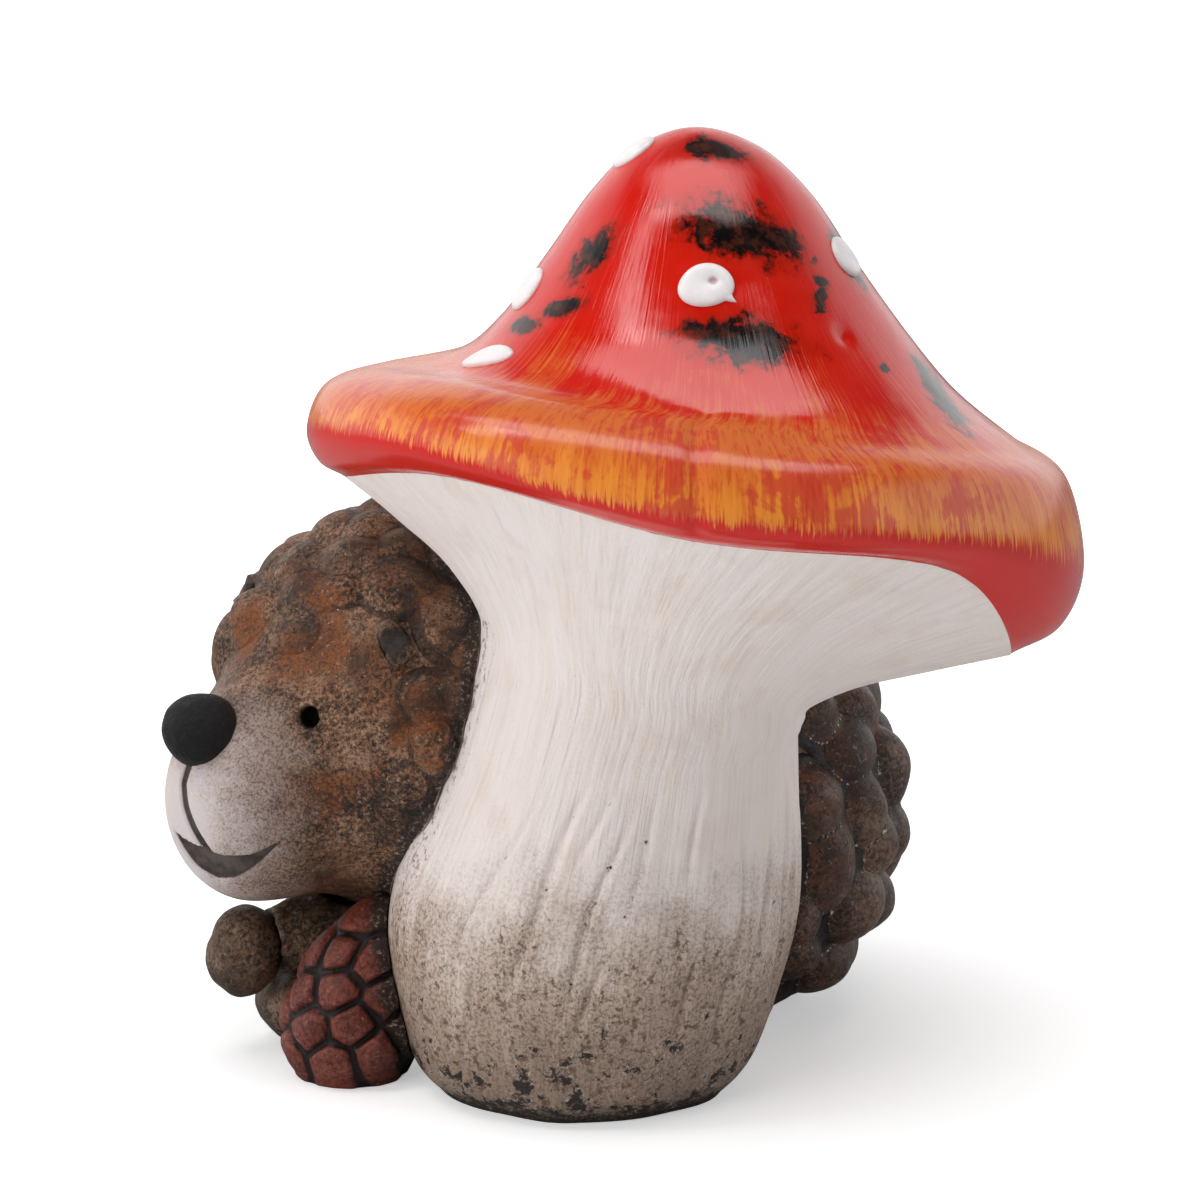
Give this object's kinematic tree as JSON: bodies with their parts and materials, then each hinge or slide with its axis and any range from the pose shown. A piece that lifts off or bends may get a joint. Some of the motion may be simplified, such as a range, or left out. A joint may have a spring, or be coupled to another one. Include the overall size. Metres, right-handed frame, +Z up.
{
  "type": "hedgehog and toadstool ornament",
  "caption": "Free-standing ceramic garden ornament: a hedgehog with rounded quills and a pine cone looks out from behind a leaning toadstool with a wide wavy cap.",
  "frame": {"origin": "middle of the flat face under the toadstool's stem", "axes": "+Z up; -Y towards the front view; -X towards the hedgehog's face"},
  "size_m": [0.1678, 0.1561, 0.1772],
  "materials": {
    "glaze_red": "glossy red glaze with orange brushed rim",
    "slip_white": "matt white slip, brushed",
    "dot_white": "satin white raised dots",
    "hide_brown": "matt brown stain",
    "face_buff": "matt buff shading to rust brown",
    "quill_brown": "satin brown stain, dark in the grooves",
    "nose_black": "matt black",
    "cone_red": "matt red brown, dark in the grooves"
  },
  "bodies": {
    "root": {"toadstool_stem": "slip_white", "cap_underside": "slip_white", "cap_top": "glaze_red", "dot_front": "dot_white", "dot_left": "dot_white", "dot_left_high": "dot_white", "dot_left_peak": "dot_white", "dot_right": "dot_white", "dot_back": "dot_white", "dot_back_right": "dot_white", "dot_back_left": "dot_white", "hedgehog_body": "hide_brown", "hedgehog_head": "face_buff", "nose": "nose_black", "head_quills_1": "quill_brown", "head_quills_2": "quill_brown", "head_quills_3": "quill_brown", "head_quills_4": "quill_brown", "head_quills_5": "quill_brown", "head_quills_6": "quill_brown", "head_quills_7": "quill_brown", "body_quills_1": "quill_brown", "body_quills_2": "quill_brown", "body_quills_3": "quill_brown", "body_quills_4": "quill_brown", "body_quills_5": "quill_brown", "body_quills_6": "quill_brown", "left_ear": "hide_brown", "right_ear": "hide_brown", "tail": "quill_brown", "right_arm": "hide_brown", "right_paw": "hide_brown", "right_foot": "hide_brown", "pine_cone": "cone_red"}
  },
  "joints": []
}
